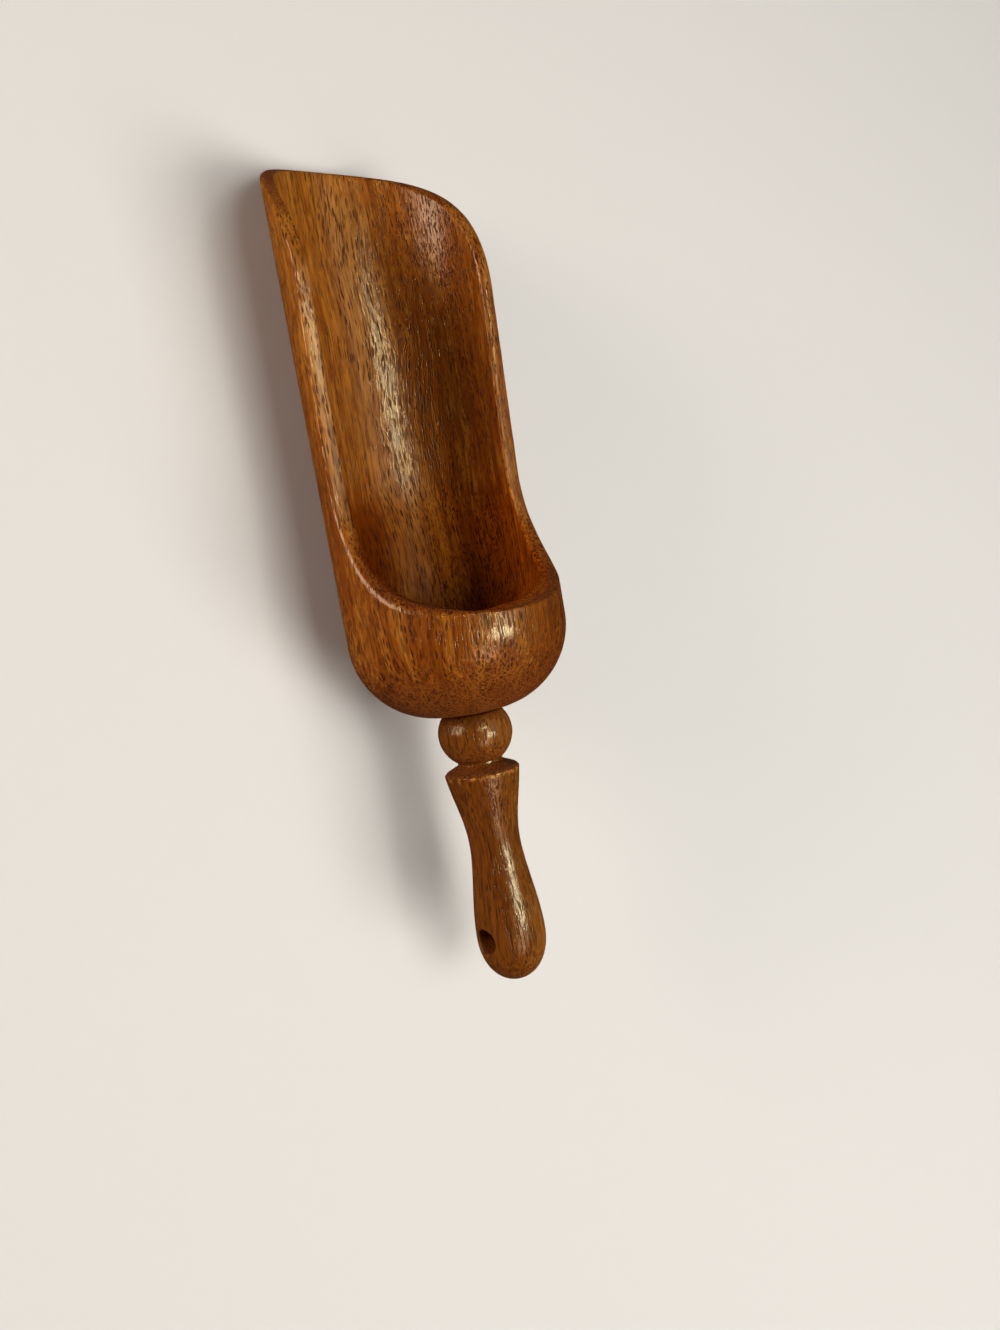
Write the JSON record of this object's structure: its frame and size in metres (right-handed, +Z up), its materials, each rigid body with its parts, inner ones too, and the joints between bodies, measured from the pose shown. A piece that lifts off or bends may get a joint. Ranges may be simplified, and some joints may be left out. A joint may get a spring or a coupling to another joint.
{
  "type": "wooden scoop",
  "caption": "Turned wooden scoop: a hollow cylindrical bowl cut open along one side, with a beaded handle glued into its base and a hanging hole.",
  "frame": {"origin": "middle of the scoop's length and width, at the height of the surface that it lies on", "axes": "+X along the scoop's axis from the handle towards the tip, +Z up out of the trough's opening, +Y to the left when looking towards the tip"},
  "size_m": [0.2154, 0.055, 0.055],
  "materials": {
    "bowl_wood": "gloss varnish, medium reddish brown, open pores",
    "handle_wood": "gloss varnish, dark reddish brown, streaked"
  },
  "bodies": {
    "root": {"scoop_bowl": "bowl_wood", "handle": "handle_wood"}
  },
  "joints": []
}
